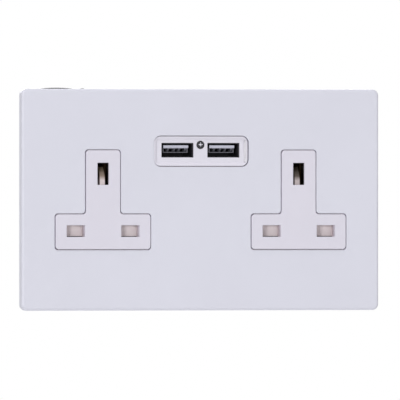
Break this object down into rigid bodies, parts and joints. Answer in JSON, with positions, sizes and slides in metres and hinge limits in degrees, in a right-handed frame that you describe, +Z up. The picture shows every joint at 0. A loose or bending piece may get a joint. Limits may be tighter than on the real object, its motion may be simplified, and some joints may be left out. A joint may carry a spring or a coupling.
{
  "type": "usb wall socket",
  "caption": "Twin switchless wall socket with shuttered three-pin outlets, a clip-on metal front plate and charging ports in a bezel between the outlets.",
  "frame": {"origin": "on the wall's surface, midway between the two fixing holes", "axes": "+X to the right as one faces the socket, +Z up, +Y into the wall"},
  "size_m": [0.146, 0.0283, 0.0863],
  "materials": {
    "cover_metal": "satin paint on pressed steel",
    "gasket_foam": "closed-cell foam",
    "face_plastic": "smooth white moulding",
    "housing_plastic": "fine matt moulding",
    "shutter_plastic": "matt moulding",
    "port_plastic": "matt moulding",
    "contact_brass": "pressed strip",
    "spring_steel": "plain wire and strip",
    "plated_steel": "bright plating",
    "board": "glass-fibre board with solder mask",
    "component": "moulded case"
  },
  "bodies": {
    "socket": {"gasket": "gasket_foam", "front_moulding": "face_plastic", "rear_housing": "housing_plastic", "housing_screws": "plated_steel", "shutter_spring_left": "spring_steel", "shutter_spring_right": "spring_steel", "line_busbar": "contact_brass", "neutral_busbar": "contact_brass", "earth_busbar": "contact_brass", "line_terminal": "contact_brass", "neutral_terminal": "contact_brass", "earth_terminal_left": "contact_brass", "earth_terminal_right": "contact_brass", "terminal_screws": "plated_steel", "line_link": "contact_brass", "neutral_link": "contact_brass", "usb_bezel": "face_plastic", "bezel_screw": "plated_steel", "usb_shell_left": "plated_steel", "usb_shell_right": "plated_steel", "usb_tongue_left": "port_plastic", "usb_tongue_right": "port_plastic", "usb_block_left": "component", "usb_block_right": "component", "usb_contacts_left": "contact_brass", "usb_contacts_right": "contact_brass", "usb_circuit_board": "board", "usb_transformer": "component", "usb_capacitors": "component", "cover_clips": "spring_steel"},
    "cover": {"cover_plate": "cover_metal"},
    "shutter_l": {"shutter_left": "shutter_plastic"},
    "shutter_r": {"shutter_right": "shutter_plastic"}
  },
  "joints": [
    {"name": "cover_pull_off", "type": "slide", "parent": "socket", "child": "cover", "axis": [0, -1, 0], "range_m": [0, 0.012]},
    {"name": "shutter_left_slide", "type": "slide", "parent": "socket", "child": "shutter_l", "axis": [0, 0, -1], "range_m": [0, 0.007], "stiffness_N_per_m": 150, "springref_m": -0.004, "deforming": ["shutter_spring_left"]},
    {"name": "shutter_right_slide", "type": "slide", "parent": "socket", "child": "shutter_r", "axis": [0, 0, -1], "range_m": [0, 0.007], "stiffness_N_per_m": 150, "springref_m": -0.004, "deforming": ["shutter_spring_right"]}
  ]
}
